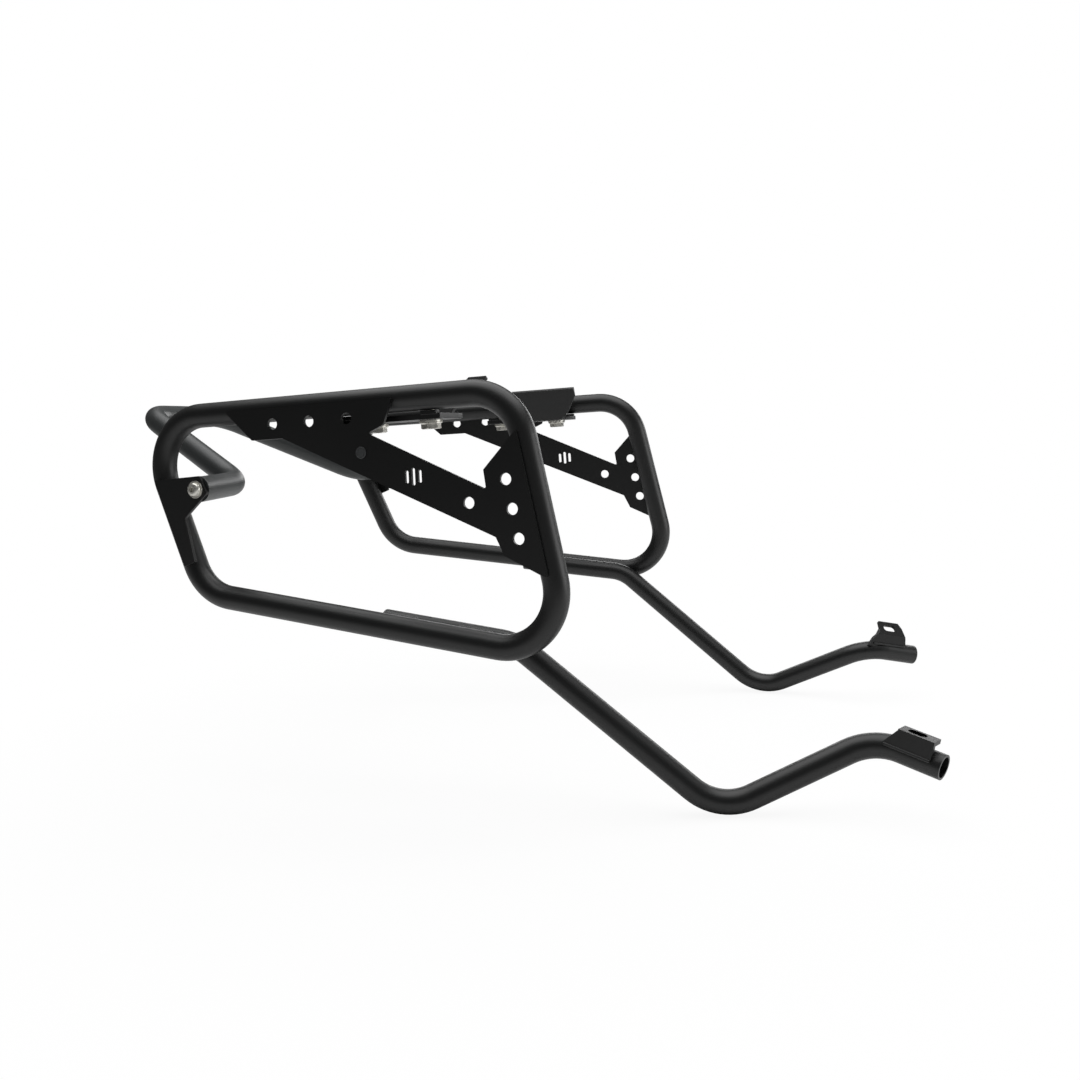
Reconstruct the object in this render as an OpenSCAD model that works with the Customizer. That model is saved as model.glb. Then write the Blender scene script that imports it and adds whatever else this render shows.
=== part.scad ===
// A pair of motorcycle pannier frames with the brace that joins them behind the seat.
// X points forward, Y to the rider's left and Z up.
// The origin lies midway between the two front frame bolts, level with the top of the bracket floors.
// Each side frame is placed from its station, midway between its front and its rear frame bolt.

/* [Tube] */
// Outside diameter of the hoops' tube
hoop_d = 23.5; // [20:0.5:26]
// Outside diameter of the stays' tube
stay_d = 22; // [18:0.5:25]
// Outside diameter of the brace's tube
brace_d = 25; // [22:0.5:26]
// Wall of the tubes that end open
tube_wall = 2; // [1.5:0.1:3]
// Bend radius of the hoops, on the tube's centre line
hoop_bend_r = 50; // [36:1:60]
// Bend radius of the stays, on the tube's centre line
stay_bend_r = 48; // [36:1:60]
// Bend radius of the rear brace, on the tube's centre line
brace_bend_r = 36; // [28:1:42]

/* [Hoops] */
// Half the distance between the hoops, at their station
hoop_half_width = 228; // [200:1:260]
// How far the hoops splay apart towards the front, in degrees
toe_out = 5; // [0:0.5:8]
// How far the hoops lean in towards the top, in degrees
lean_in = 3; // [0:0.5:6]
// Top front corner, ahead of the station
hoop_front = 125; // [115:1:150]
// Top rear corner, behind the station
hoop_rear = 281.5; // [265:0.5:320]
// Depth of the hoop at its front corner
hoop_front_depth = 233; // [215:1:260]
// Forward slant of the front tube over its depth
hoop_front_slant = 44.5; // [30:0.5:55]
// Depth of the hoop at its rear corner
hoop_rear_depth = 175.5; // [165:1:200]
// Forward slant of the rear tube over its depth
hoop_rear_slant = 64.5; // [50:0.5:75]

/* [Side plates] */
// Thickness of the side plates
plate_t = 3; // [2:0.5:4]
// Rounding of the side plates' corners
plate_corner_r = 1.5; // [1:0.5:5]
// Diameter of the case mounting holes
case_hole_d = 10.5; // [8:0.1:11]
// Pitch of the holes in the front column
column_pitch = 26; // [22:0.5:30]
// Depth of the middle hole of the front column
column_depth = 102; // [90:1:110]
// Pitch of the holes in the rear wing
wing_pitch = 40.5; // [34:0.5:44]
// Place of the middle hole of the rear wing, behind the station
wing_hole_back = 75; // [65:1:85]
// Depth of the holes in the rear wing
wing_hole_depth = 15; // [14:0.5:16]
// Depth of the rear wing
wing_depth = 29; // [27:0.5:34]
// Rear end of the wing, behind the station
wing_rear = 170; // [160:1:185]
// Front end of the wing, ahead of the station
wing_front = 13.5; // [5:0.5:20]
// Fall of the diagonal band, in degrees
band_fall = 24.3; // [22:0.1:27]

/* [Stays] */
// Rear end of the stay, behind the station
stay_rear = 26; // [10:1:60]
// Where the stay turns down from the hoop, ahead of the station
stay_turn = 107; // [100:1:125]
// Forward reach of the falling leg
fall_reach = 171; // [150:1:190]
// Drop of the falling leg
fall_drop = 150; // [130:1:180]
// Inward set of the falling leg
fall_inset = 37; // [30:1:60]
// Forward reach of the rising leg
rise_reach = 126.5; // [100:0.5:140]
// Climb of the rising leg
rise_height = 61.5; // [50:0.5:80]
// Inward set of the rising leg
rise_inset = 38; // [20:1:45]
// Forward reach of the stay's end
end_reach = 55.5; // [52:0.5:70]
// Drop of the stay's end
end_drop = 15; // [8:1:24]
// Outward set of the stay's end
end_outset = 21; // [8:1:28]

/* [Foot brackets] */
// Thickness of the foot brackets
foot_t = 4; // [3:0.5:5]
// Width of the slots in the foot brackets
foot_slot_w = 8.5; // [6.5:0.1:9]
// Length of the slots in the foot brackets
foot_slot_l = 16; // [12:0.5:18]

/* [Top brackets] */
// Thickness of the top brackets
bracket_t = 5; // [4:0.5:6]
// Length of the top brackets' floors
bracket_l = 105; // [100:1:120]
// Height of the top tube's underside over the bracket floors
tab_height = 3; // [2:0.1:5]
// Distance of the bracket floors' inner edge from the rear bolts
floor_edge = 12; // [10:0.5:16]
// Height of the slanted web's top edge over the floor
web_rise = 32; // [24:1:40]
// Inward set of the slanted web over its height
web_inset = 17; // [12:1:24]
// Front end of the slanted web, ahead of the station
web_front = 72; // [66:1:78]

/* [Frame bolts] */
// Distance between the two bolts of a side, front to back
bolt_spacing_x = 66; // [60:1:72]
// How far inside the hoops, at their station, the front bolts stand
front_bolt_inset = 20; // [19:0.5:23]
// How far inside the hoops, at their station, the rear bolts stand
rear_bolt_inset = 44; // [40:0.5:45]
// Diameter of the frame bolts
bolt_d = 10; // [8:0.5:10]
// Length of the frame bolts under the head
bolt_l = 28; // [22:1:35]
// Height of the bolt heads
bolt_head_h = 6.5; // [5:0.5:8]
// Width of the bolt heads across flats
bolt_head_w = 16; // [13:0.5:17]
// Diameter of the bolt heads' flanges
bolt_flange_d = 21.5; // [18:0.5:22]
// Thickness of the washers under the frame bolts
washer_t = 2; // [1.5:0.1:2.5]
// Diameter of the washers under the frame bolts
washer_d = 22; // [20:0.5:24]

/* [Rear clips and brace] */
// Thickness of the rear clip plates
clip_t = 4; // [3:0.5:5]
// Depth of the brace bolts on the hoops' rear tubes
brace_bolt_depth = 72.5; // [70:0.5:80]
// Place of the brace bolts ahead of the rear tube's centre line
brace_bolt_ahead = 46; // [42:0.5:50]
// Diameter of the brace bolts
brace_bolt_d = 8; // [8:0.5:10]
// Diameter of the brace bolts' round heads
brace_head_d = 14.5; // [13:0.5:16]
// Height of the brace bolts' round heads
brace_head_h = 8; // [6:0.5:10]
// Length of the threaded plugs in the ends of the brace
plug_l = 22; // [16:1:30]
// Distance of the brace's outer bends behind the brace bolts
brace_outer_back = 16.5; // [8:0.5:20]
// Distance of the brace's outer bends from the middle plane
brace_outer_y = 134.5; // [130:0.5:150]
// Height of the brace's outer bends under the origin
brace_outer_drop = 55; // [50:1:64]
// Distance of the brace's inner bends behind the brace bolts
brace_inner_back = 170; // [150:1:180]
// Distance of the brace's inner bends from the middle plane
brace_inner_y = 69.5; // [60:0.5:76]
// Height of the brace's inner bends over the origin
brace_inner_rise = 26.5; // [16:0.5:32]

/* [Hidden] */
$fn = 48;
// Gap between pieces that are fitted into each other
fit_gap = 0.2;
// Radial play of a bolt in its hole
bolt_play = 0.5;
hoop_r = hoop_d / 2;
stay_r = stay_d / 2;
// Gap for the weld between the top tube and the tabs on the bracket floors
weld_gap = 0.3;
// Height of the top tube's centre line over the bracket floors
top_tube_height = hoop_r + tab_height;
// Distance between the right and the left bolts, in front and behind
front_bolt_spacing = 2 * (hoop_half_width - front_bolt_inset);
rear_bolt_spacing = 2 * (hoop_half_width - rear_bolt_inset);
// Inner edge of the bracket floors, from the middle plane
floor_inner_y = rear_bolt_spacing / 2 - floor_edge;
corner_steps = 5;
// Straight lengths reach this far into the bends, which are a hair thinner
lap = 0.2;
hair = 0.02;
// Overlap of two cuts that meet end to end, which leaves no skin between them
cut_lap = 0.00005;
// Height of the plane that the side plates and the rear clips are welded on
face_w = hoop_r;
// Place of the side frames' stations, behind the origin
station_back = bolt_spacing_x / 2;

// Vectors

function unit(v) = v / norm(v);
function turn_angle(a, b, c) = acos(unit(b - a) * unit(c - b));
function setback(a, b, c, r) = r * tan(turn_angle(a, b, c) / 2);

// Turns a point of a side frame into a point of the whole rack, on the right-hand side
function lean(p) = [
    p.x,
    p.y * sin(lean_in) - p.z * cos(lean_in),
    p.y * cos(lean_in) + p.z * sin(lean_in)
];
function toe(p) = [
    p.x * cos(toe_out) + p.y * sin(toe_out),
    p.y * cos(toe_out) - p.x * sin(toe_out),
    p.z
];
function rack_point(p) = toe(lean(p)) + [-station_back, -hoop_half_width, top_tube_height];
function other_side(p) = [p.x, -p.y, p.z];

// Outlines

// One rounded corner of an outline, from the straight before it to the straight after it
function corner_arc(a, b, c, r) =
    let (
        before = unit(a - b),
        after = unit(c - b),
        half = acos(before * after) / 2,
        centre = b + unit(before + after) * r / sin(half),
        start = b + before * r / tan(half) - centre,
        finish = b + after * r / tan(half) - centre,
        side = start.x * finish.y - start.y * finish.x > 0 ? 1 : -1
    )
    [
        for (i = [0 : corner_steps])
            let (angle = side * (180 - 2 * half) * i / corner_steps)
            centre + [
                start.x * cos(angle) - start.y * sin(angle),
                start.x * sin(angle) + start.y * cos(angle)
            ]
    ];

function rounded(points, r) = [
    for (i = [0 : len(points) - 1])
        each corner_arc(
            points[(i + len(points) - 1) % len(points)],
            points[i],
            points[(i + 1) % len(points)],
            r
        )
];

// Tubes

// A round bar between two points
module bar(a, b, d) {
    v = b - a;
    translate(a)
        rotate([0, acos(v.z / norm(v)), atan2(v.y, v.x)])
            cylinder(d = d, h = norm(v));
}

// The bend at b of a bar that comes from a and goes on to c
module bend(a, b, c, r, d) {
    from = unit(b - a);
    onward = unit(c - b);
    inner = unit(onward - from * (from * onward));
    centre = b - from * setback(a, b, c, r) + inner * r;
    up = cross(-inner, from);
    multmatrix([
        [-inner.x, from.x, up.x, centre.x],
        [-inner.y, from.y, up.y, centre.y],
        [-inner.z, from.z, up.z, centre.z]
    ])
        rotate_extrude(angle = turn_angle(a, b, c))
            translate([r, 0])
                circle(r = d / 2 - hair);
}

// A bar along an open route
module bent_bar(points, r, d) {
    last = len(points) - 1;
    for (i = [0 : last - 1]) {
        way = unit(points[i + 1] - points[i]);
        back = i == 0 ? 0 : setback(points[i - 1], points[i], points[i + 1], r) - lap;
        short = i == last - 1 ? 0 : setback(points[i], points[i + 1], points[i + 2], r) - lap;
        bar(points[i] + way * back, points[i + 1] - way * short, d);
    }
    for (i = [1 : last - 1])
        bend(points[i - 1], points[i], points[i + 1], r, d);
}

// A bar along a closed route
module looped_bar(points, r, d) {
    n = len(points);
    for (i = [0 : n - 1]) {
        a = points[(i + n - 1) % n];
        b = points[i];
        c = points[(i + 1) % n];
        e = points[(i + 2) % n];
        way = unit(c - b);
        bar(b + way * (setback(a, b, c, r) - lap), c - way * (setback(b, c, e, r) - lap), d);
        bend(a, b, c, r, d);
    }
}

// A tube that is open at both ends
module bent_tube(points, r, d) {
    last = len(points) - 1;
    spare = 1;
    first_way = unit(points[1] - points[0]);
    last_way = unit(points[last] - points[last - 1]);
    bore_points = [
        for (i = [0 : last])
            i == 0 ? points[0] - first_way * spare
            : i == last ? points[last] + last_way * spare
            : points[i]
    ];
    difference() {
        bent_bar(points, r, d);
        bent_bar(bore_points, r, d - 2 * tube_wall);
    }
}

// Places of the side frame: X along the top tube, Y up the hoop and Z outwards,
// from the top tube's centre line at the station

hoop_corners = [
    [-hoop_rear, 0, 0],
    [hoop_front, 0, 0],
    [hoop_front + hoop_front_slant, -hoop_front_depth, 0],
    [-hoop_rear + hoop_rear_slant, -hoop_rear_depth, 0]
];
front_tube_way = unit(hoop_corners[2] - hoop_corners[1]);
rear_tube_way = unit(hoop_corners[3] - hoop_corners[0]);

// Centre line of the front, rear and bottom tubes
function front_tube_x(depth) = hoop_front + hoop_front_slant * depth / hoop_front_depth;
function rear_tube_x(depth) = -hoop_rear + hoop_rear_slant * depth / hoop_rear_depth;
function bottom_tube_y(x) =
    let (
        share = (x - hoop_corners[3].x) / (hoop_corners[2].x - hoop_corners[3].x)
    )
    -hoop_rear_depth - share * (hoop_front_depth - hoop_rear_depth);

// Case mounting holes
column_hole_back = 19;
corner_hole_back = 40.5;
corner_hole_rise = 6.5;
column_middle = [front_tube_x(column_depth) - column_hole_back, -column_depth];
column_way = [front_tube_way.x, front_tube_way.y];
case_holes = concat(
    [for (i = [-1 : 1]) column_middle + column_way * column_pitch * i],
    [column_middle + [-corner_hole_back, corner_hole_rise]],
    [for (i = [-1 : 1]) [-wing_hole_back + wing_pitch * i, -wing_hole_depth]]
);

// The stay runs beside the hoop's bottom tube, then falls, rises and levels out
stay_side = hoop_r + stay_r + fit_gap;
stay_points = let (
    tail = [-stay_rear, bottom_tube_y(-stay_rear), -stay_side],
    knee = [stay_turn, bottom_tube_y(stay_turn), -stay_side],
    low = knee + [fall_reach, -fall_drop, -fall_inset],
    high = low + [rise_reach, rise_height, -rise_inset],
    tip = high + [end_reach, -end_drop, end_outset]
)
    [tail, knee, low, high, tip];

// The brace bolt, on the outer face of the rear clip
brace_bolt_place = [rear_tube_x(brace_bolt_depth) + brace_bolt_ahead, -brace_bolt_depth];

// Puts a piece of the side frame on the right-hand side of the rack
module on_right() {
    translate([-station_back, -hoop_half_width, top_tube_height])
        rotate([0, 0, -toe_out])
            rotate([90 - lean_in, 0, 0])
                children();
}

// Puts a piece of the right-hand side on the left-hand side
module mirrored() {
    mirror([0, 1, 0])
        children();
}

// Side frame pieces

module hoop() {
    color("#1c1d1e")
        on_right()
            looped_bar(hoop_corners, hoop_bend_r, hoop_d);
}

// The side plate is a rear wing under the top tube, a diagonal band and a nose on the front tube
module plate_outline() {
    band_slope = tan(band_fall);
    wing_foot = -wing_rear + 30;
    band_start = wing_foot + 35;
    nose_depth = 161;
    prong_depth = 35;
    band_low = [column_middle.x - 16.5, -wing_depth - (column_middle.x - 16.5 - band_start) * band_slope];
    band_top = [wing_front - 22, -wing_depth + 1];
    band_high = [column_middle.x - 24, band_top.y - (column_middle.x - 24 - band_top.x) * band_slope * 1.05];
    polygon(rounded([
        [-wing_rear, 0],
        [wing_foot, -wing_depth],
        [band_start, -wing_depth],
        band_low,
        [column_middle.x - 9, -column_depth - 40],
        [front_tube_x(nose_depth) - 7, -nose_depth + 2.5],
        [front_tube_x(nose_depth), -nose_depth],
        [front_tube_x(prong_depth), -prong_depth],
        [column_middle.x - 25.5, -column_depth + 34.5],
        band_high,
        band_top,
        [wing_front - 10, -wing_depth + 6],
        [wing_front, 0]
    ], plate_corner_r));
}

// Three upright slots that lighten the diagonal band
module slot_cuts() {
    slot_pitch = 6.5;
    slot_w = 3.6;
    for (i = [-1 : 1])
        for (end = [-1, 1])
            translate([slot_pitch * i, end * (6 - 2 * abs(i))])
                circle(d = slot_w);
    for (i = [-1 : 1])
        translate([slot_pitch * i, 0])
            square([slot_w, 2 * (6 - 2 * abs(i))], center = true);
}

slots_place = [31.8, -70.6];
plate_plug_place = [-20.5, -46.7];
plate_plug_d = 11;
plate_plug_hole_d = 7;

module side_plate() {
    cut = plate_t + 2;
    color("#161718")
        on_right()
            translate([0, 0, face_w])
                difference() {
                    linear_extrude(plate_t)
                        plate_outline();
                    for (place = case_holes)
                        translate([place.x, place.y, -1])
                            cylinder(d = case_hole_d, h = cut);
                    translate([slots_place.x, slots_place.y, -1])
                        linear_extrude(cut)
                            slot_cuts();
                    translate([plate_plug_place.x, plate_plug_place.y, -1])
                        cylinder(d = plate_plug_hole_d, h = cut);
                }
}

// A blind plug with a low round head, pushed into the plate from outside
module plate_plug() {
    head_h = 1;
    tail_l = 4;
    color("#1f2021")
        on_right()
            translate([plate_plug_place.x, plate_plug_place.y, face_w + plate_t]) {
                cylinder(d = plate_plug_d, h = head_h);
                translate([0, 0, -plate_t - tail_l])
                    cylinder(d = plate_plug_hole_d - 2 * fit_gap, h = plate_t + tail_l);
            }
}

module stay() {
    color("#1c1d1e")
        on_right()
            bent_tube(stay_points, stay_bend_r, stay_d);
}

// Foot bracket: a web that stands on the stay's end, folded over into a slotted tongue.
// foot, fold and edge are the sheet's section as [outwards, up] from the stay's centre line,
// outline is its shape seen from the side as [along, up] from the stay's last bend,
// and slot_along the place of its slot.
module foot_bracket(foot, fold, edge, outline, slot_along) {
    low = stay_points[2];
    high = stay_points[3];
    tip = stay_points[4];
    way = unit(tip - high);
    side = unit(cross(way, [0, 1, 0]));
    up = cross(side, way);
    color("#1a1b1c")
        on_right()
            difference() {
                multmatrix([
                    [way.x, side.x, up.x, high.x],
                    [way.y, side.y, up.y, high.y],
                    [way.z, side.z, up.z, high.z]
                ])
                    difference() {
                        intersection() {
                            folded_sheet(foot, fold, edge);
                            rotate([90, 0, 0])
                                linear_extrude(4 * stay_d, center = true)
                                    polygon(outline);
                        }
                        foot_slot(fold, edge, slot_along);
                    }
                stay_room(low, high, tip + way * end_reach);
            }
}

// Room for the stay's end, a little wider on its straight length
module stay_room(low, high, tip) {
    way = unit(tip - high);
    straight = setback(low, high, tip, stay_bend_r);
    bar(high + way * (straight - cut_lap), tip, stay_d + 4 * fit_gap);
    bend(low, high, tip, stay_bend_r, stay_d + 2 * fit_gap);
}

// A sheet with one fold along X, from the left of the path foot, fold, edge
module folded_sheet(foot, fold, edge) {
    reach = 3 * end_reach;
    web_way = unit(fold - foot);
    tongue_way = unit(edge - fold);
    web_in = [-web_way.y, web_way.x];
    tongue_in = [-tongue_way.y, tongue_way.x];
    fold_in = (web_in + tongue_in) / (1 + web_in * tongue_in);
    translate([-end_reach, 0, 0])
        rotate([90, 0, 90])
            linear_extrude(reach)
                polygon([
                    foot,
                    fold,
                    edge,
                    edge + tongue_in * foot_t,
                    fold + fold_in * foot_t,
                    foot + web_in * foot_t
                ]);
}

// The slot runs along X in the middle of the tongue
module foot_slot(fold, edge, along) {
    slot_half = (foot_slot_l - foot_slot_w) / 2;
    cut = 3 * foot_t;
    place = (fold + edge) / 2;
    way = edge - fold;
    translate([along, place.x, place.y])
        rotate([atan2(way.y, way.x), 0, 0]) {
            for (end = [-1, 1])
                translate([end * slot_half, 0, 0])
                    cylinder(d = foot_slot_w, h = cut, center = true);
            cube([2 * slot_half, foot_slot_w, cut], center = true);
        }
}

// Top brackets and frame bolts

bolt_hole_d = bolt_d + 2 * bolt_play;

// Places of the frame bolts on the right-hand side, the front one first
frame_bolt_places = [
    [0, -front_bolt_spacing / 2],
    [-bolt_spacing_x, -rear_bolt_spacing / 2]
];

// Top bracket: a floor with the bolt holes, folded up into a slanted web, and two tabs that
// carry the top tube. web_outline is the web's shape as [ahead of the station, up the web].
module top_bracket(web_outline) {
    color("#232527")
        difference() {
            translate([-station_back, 0, 0]) {
                bracket_floor();
                bracket_web(web_outline);
                for (end = [-1, 1])
                    weld_tab(end);
            }
            for (place = frame_bolt_places)
                translate([place.x, place.y, -bracket_t - 1])
                    cylinder(d = bolt_hole_d, h = bracket_t + 2);
        }
}

// Outer edge of the bracket's floor, under the middle of the toed-out top tube
function floor_out(x) = -hoop_half_width - x * tan(toe_out);

module bracket_floor() {
    corner = 6;
    end = bracket_l / 2;
    translate([0, 0, -bracket_t])
        linear_extrude(bracket_t)
            polygon([
                [-end + corner, -floor_inner_y],
                [-end, -floor_inner_y - corner],
                [-end, floor_out(-end)],
                [end, floor_out(end)],
                [end, -floor_inner_y - corner],
                [end - corner, -floor_inner_y]
            ]);
}

module weld_tab(end) {
    tab_l = 16;
    tab_w = 7;
    sunk = 1;
    place = end * (bracket_l / 2 - 10);
    translate([place, floor_out(place), (tab_height - weld_gap - sunk) / 2])
        rotate([0, 0, -toe_out])
            cube([tab_l, tab_w, tab_height - weld_gap + sunk], center = true);
}

web_slant = atan2(web_inset, web_rise + bracket_t);
web_l = norm([web_inset, web_rise + bracket_t]);

module bracket_web(outline) {
    translate([0, -floor_inner_y, -bracket_t])
        rotate([90 - web_slant, 0, 0])
            linear_extrude(bracket_t)
                polygon(outline);
}

// The right web is a narrow lug that leans forward, and the left one spreads to both ends
right_web = [[17, 0], [38, 0], [44, 13], [web_front, web_l - 2], [web_front, web_l], [web_front - 18, web_l]];
left_web = [[8, 0], [50, 0], [web_front - 12, 9], [web_front, web_l - 11], [web_front, web_l], [-10, web_l]];

// A flange bolt whose plain shank is thinner than its thread, as a rolled thread leaves it
module frame_bolt(place) {
    flange_h = 1.5;
    plain_l = bracket_t + washer_t + 0.5;
    plain_d = bolt_d * 0.9;
    color("#b9bbbd")
        translate([place.x, place.y, -bracket_t - washer_t]) {
            cylinder(d = plain_d, h = plain_l);
            translate([0, 0, plain_l])
                cylinder(d = bolt_d, h = bolt_l - plain_l);
            translate([0, 0, -flange_h])
                cylinder(d = bolt_flange_d, h = flange_h);
            translate([0, 0, -bolt_head_h])
                cylinder(d = bolt_head_w / cos(30), h = bolt_head_h, $fn = 6);
        }
}

module frame_washer(place) {
    color("#c8cacc")
        translate([place.x, place.y, -bracket_t - washer_t])
            difference() {
                cylinder(d = washer_d, h = washer_t);
                translate([0, 0, -1])
                    cylinder(d = bolt_hole_d, h = washer_t + 2);
            }
}

// Rear clips and brace

// The clip plate lies along the outside of the rear tube, with an ear for the brace bolt
module clip_outline() {
    rear_edge = 1.5;
    strip_front = 12;
    top = brace_bolt_depth - 11;
    bottom = brace_bolt_depth + 75;
    bolt_x = brace_bolt_place.x;
    polygon(rounded([
        [rear_tube_x(top) - rear_edge, -top],
        [rear_tube_x(bottom) - rear_edge, -bottom],
        [rear_tube_x(bottom) + strip_front, -bottom + 4],
        [bolt_x - 15.5, -brace_bolt_depth - 27.5],
        [bolt_x - 6, -brace_bolt_depth - 19.5],
        [bolt_x + 13, -brace_bolt_depth - 4],
        [bolt_x + 5, -top + 2]
    ], 2));
}

module rear_clip() {
    color("#161718")
        on_right()
            translate([0, 0, face_w])
                difference() {
                    linear_extrude(clip_t)
                        clip_outline();
                    translate([brace_bolt_place.x, brace_bolt_place.y, -1])
                        cylinder(d = brace_bolt_d + 2 * bolt_play, h = clip_t + 2);
                }
}

brace_start = rack_point([brace_bolt_place.x, brace_bolt_place.y, face_w]);
brace_outer = [
    brace_start.x - brace_outer_back, -brace_outer_y, -brace_outer_drop
];
brace_inner = [
    brace_start.x - brace_inner_back, -brace_inner_y, brace_inner_rise
];

// Everything outboard of the inner face of the right-hand clip
module beyond_clip(gap) {
    reach = 200;
    on_right()
        translate([brace_bolt_place.x - reach / 2, brace_bolt_place.y - reach / 2, face_w - gap])
            cube([reach, reach, reach]);
}

module rear_brace() {
    overrun = 8;
    out = unit(brace_start - brace_outer) * overrun;
    color("#2b2d2f")
        difference() {
            bent_tube([
                brace_start + out,
                brace_outer,
                brace_inner,
                other_side(brace_inner),
                other_side(brace_outer),
                other_side(brace_start + out)
            ], brace_bend_r, brace_d);
            beyond_clip(0);
            mirrored()
                beyond_clip(0);
        }
}

// A threaded plug in each end of the brace takes the brace bolt
module brace_plug() {
    plug_d = brace_d - 2 * tube_wall - 2 * fit_gap;
    overrun = 8;
    way = unit(brace_start - brace_outer);
    color("#3a3c3e")
        difference() {
            bar(brace_start - way * plug_l, brace_start + way * overrun, plug_d);
            beyond_clip(0);
            on_right()
                translate([brace_bolt_place.x, brace_bolt_place.y, face_w - plug_l + 6])
                    cylinder(d = brace_bolt_d + 2 * fit_gap, h = plug_l);
        }
}

brace_washer_t = 1.6;
brace_washer_d = 17;

module brace_washer() {
    color("#c8cacc")
        on_right()
            translate([brace_bolt_place.x, brace_bolt_place.y, face_w + clip_t])
                difference() {
                    cylinder(d = brace_washer_d, h = brace_washer_t);
                    translate([0, 0, -1])
                        cylinder(d = brace_bolt_d + 2 * bolt_play, h = brace_washer_t + 2);
                }
}

module brace_bolt() {
    key_w = 6;
    key_depth = 4;
    shank_l = clip_t + brace_washer_t + plug_l - 8;
    color("#b9bbbd")
        on_right()
            translate([brace_bolt_place.x, brace_bolt_place.y, face_w + clip_t + brace_washer_t])
                difference() {
                    union() {
                        cylinder(d = brace_head_d, h = brace_head_h);
                        translate([0, 0, -shank_l])
                            cylinder(d = brace_bolt_d, h = shank_l);
                    }
                    translate([0, 0, brace_head_h - key_depth])
                        cylinder(d = key_w / cos(30), h = key_depth + 1, $fn = 6);
                }
}

// The two foot brackets differ, because they meet different lugs of the motorcycle
right_foot_outline = [[9, 2], [22, 20], [22, 24], [55, 24], [57, 20], [57, 13], [54, 2]];
left_foot_outline = [[-2, 4], [3, 15], [12, 25], [12, 38], [34, 38], [41, 29], [44, 18], [47, 4]];

module right_foot() {
    foot_bracket([11, 5], [11, 21], [-3, 21], right_foot_outline, 36);
}

module left_foot() {
    mirrored()
        foot_bracket([-3, 5], [-3, 19], [9, 31], left_foot_outline, 25);
}

hoop();  // right_hoop
mirrored() hoop();  // left_hoop
side_plate();  // right_side_plate
mirrored() side_plate();  // left_side_plate
plate_plug();  // right_plate_plug
mirrored() plate_plug();  // left_plate_plug
stay();  // right_stay
mirrored() stay();  // left_stay
right_foot();  // right_foot_bracket
left_foot();  // left_foot_bracket
top_bracket(right_web);  // right_top_bracket
mirrored() top_bracket(left_web);  // left_top_bracket
rear_clip();  // right_rear_clip
mirrored() rear_clip();  // left_rear_clip
rear_brace();
brace_plug();  // right_brace_plug
mirrored() brace_plug();  // left_brace_plug
brace_bolt();  // right_brace_bolt
mirrored() brace_bolt();  // left_brace_bolt
brace_washer();  // right_brace_washer
mirrored() brace_washer();  // left_brace_washer
frame_bolt(frame_bolt_places[0]);  // right_front_bolt
frame_bolt(frame_bolt_places[1]);  // right_rear_bolt
mirrored() frame_bolt(frame_bolt_places[0]);  // left_front_bolt
mirrored() frame_bolt(frame_bolt_places[1]);  // left_rear_bolt
frame_washer(frame_bolt_places[0]);  // right_front_washer
frame_washer(frame_bolt_places[1]);  // right_rear_washer
mirrored() frame_washer(frame_bolt_places[0]);  // left_front_washer
mirrored() frame_washer(frame_bolt_places[1]);  // left_rear_washer
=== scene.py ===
"""Finishes a pair of motorcycle pannier frames: coated tubes, rounded sheet metal, welds and bolts."""

import math

import bpy
from mathutils import Matrix, Vector


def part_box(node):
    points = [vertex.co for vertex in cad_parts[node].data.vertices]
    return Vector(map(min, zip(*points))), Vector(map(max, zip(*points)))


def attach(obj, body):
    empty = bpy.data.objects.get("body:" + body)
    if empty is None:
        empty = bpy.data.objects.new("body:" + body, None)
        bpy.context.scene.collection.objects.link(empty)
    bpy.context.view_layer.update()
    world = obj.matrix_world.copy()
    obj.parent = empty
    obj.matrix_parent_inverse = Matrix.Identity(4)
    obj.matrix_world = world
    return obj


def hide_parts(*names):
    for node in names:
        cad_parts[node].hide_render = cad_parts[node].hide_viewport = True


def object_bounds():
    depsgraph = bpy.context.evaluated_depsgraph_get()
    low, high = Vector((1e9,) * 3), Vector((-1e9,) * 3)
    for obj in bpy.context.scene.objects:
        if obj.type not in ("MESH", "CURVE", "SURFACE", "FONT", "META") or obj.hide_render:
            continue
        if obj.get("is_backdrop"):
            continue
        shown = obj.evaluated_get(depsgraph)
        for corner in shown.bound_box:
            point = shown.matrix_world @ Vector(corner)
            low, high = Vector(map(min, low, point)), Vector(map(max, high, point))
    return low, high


bl_info = {
    "name": "Pannier frame",
    "version": (1, 0, 0),
    "blender": (4, 5, 0),
    "location": "View3D > Sidebar > Pannier frame",
    "description": "Finishes the sheet metal, welds, bolts and coating of a motorcycle pannier frame",
    "category": "Object",
}

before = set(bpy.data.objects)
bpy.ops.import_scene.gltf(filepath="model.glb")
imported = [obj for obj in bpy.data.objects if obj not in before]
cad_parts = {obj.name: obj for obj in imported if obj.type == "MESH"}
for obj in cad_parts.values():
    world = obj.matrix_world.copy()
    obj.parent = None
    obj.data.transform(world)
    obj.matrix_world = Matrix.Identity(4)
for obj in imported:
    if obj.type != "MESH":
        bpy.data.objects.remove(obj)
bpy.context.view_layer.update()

BODY = "root"
SIDES = ("right", "left")
FRAME_TUBES = ("right_hoop", "left_hoop", "right_stay", "left_stay")
BRACE_PARTS = ("rear_brace", "right_brace_plug", "left_brace_plug")

# The side frame stands in its own plane: X along the top tube, Y up, Z outwards
STATION_BACK = 0.033
HALF_WIDTH = 0.228
TOP_TUBE_HEIGHT = 0.01475
TOE_OUT = math.radians(5)
LEAN_IN = math.radians(3)

# Sizes of the solids that the new pieces lie on
HOOP_RADIUS = 0.01175
PLATE_THICKNESS = 0.003
CLIP_THICKNESS = 0.004
BRACE_WASHER_THICKNESS = 0.0016

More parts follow.
